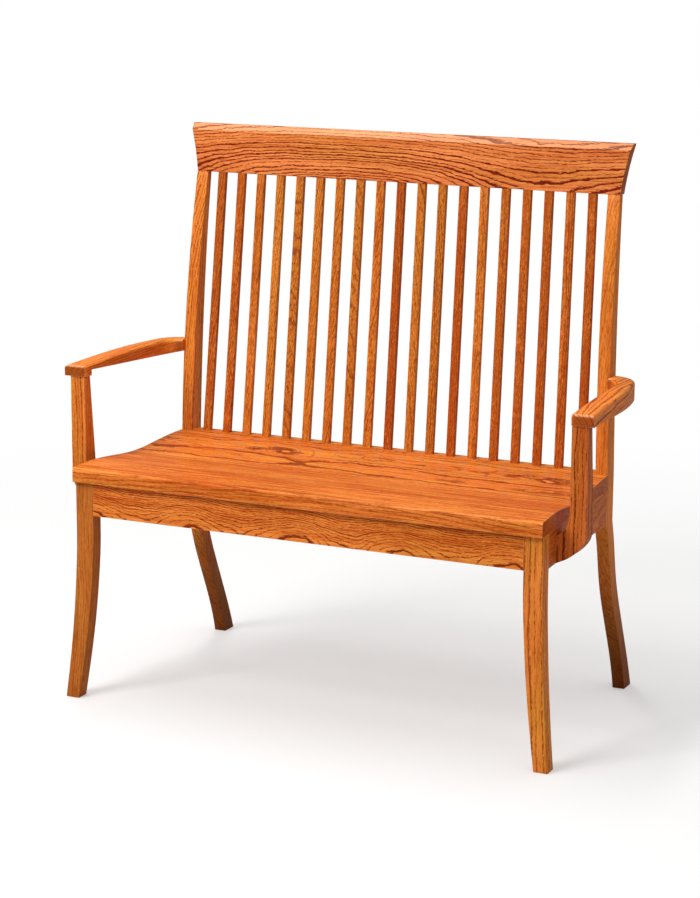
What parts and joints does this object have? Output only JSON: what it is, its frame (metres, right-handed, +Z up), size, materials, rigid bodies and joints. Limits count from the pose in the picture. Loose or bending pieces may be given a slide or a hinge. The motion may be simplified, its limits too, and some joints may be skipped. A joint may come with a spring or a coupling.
{
  "type": "settle",
  "caption": "Oak settle with arms: slatted back under a wide crest rail, scooped plank seat, plain apron, outward curved legs.",
  "frame": {"origin": "on the floor, under the middle of the settle's overall box", "axes": "+Z up, +X to the right of someone who faces the settle, -Y out of its front"},
  "size_m": [1.079, 0.5638, 1.0745],
  "materials": {
    "seat_oak": "satin",
    "frame_oak": "satin",
    "slat_oak": "satin",
    "inner_oak": "matte",
    "screw_steel": "satin"
  },
  "bodies": {
    "root": {"seat_board_1": "seat_oak", "seat_board_2": "seat_oak", "seat_board_3": "seat_oak", "seat_board_4": "seat_oak", "crest_rail": "frame_oak", "lower_back_rail": "frame_oak", "front_apron": "frame_oak", "side_apron_right": "frame_oak", "side_apron_left": "frame_oak", "front_leg_right": "frame_oak", "front_leg_left": "frame_oak", "back_post_right": "frame_oak", "back_post_left": "frame_oak", "arm_post_right": "frame_oak", "arm_post_left": "frame_oak", "armrest_right": "frame_oak", "armrest_left": "frame_oak", "slat_01": "slat_oak", "slat_02": "slat_oak", "slat_03": "slat_oak", "slat_04": "slat_oak", "slat_05": "slat_oak", "slat_06": "slat_oak", "slat_07": "slat_oak", "slat_08": "slat_oak", "slat_09": "slat_oak", "slat_10": "slat_oak", "slat_11": "slat_oak", "slat_12": "slat_oak", "slat_13": "slat_oak", "slat_14": "slat_oak", "slat_15": "slat_oak", "slat_16": "slat_oak", "slat_17": "slat_oak", "slat_18": "slat_oak", "slat_19": "slat_oak", "seat_brace": "inner_oak", "front_corner_block_right": "inner_oak", "front_corner_block_left": "inner_oak", "rear_corner_block_right": "inner_oak", "rear_corner_block_left": "inner_oak", "arm_dowels": "inner_oak", "corner_block_screws": "screw_steel", "seat_screws": "screw_steel", "arm_post_screws": "screw_steel"}
  },
  "joints": []
}
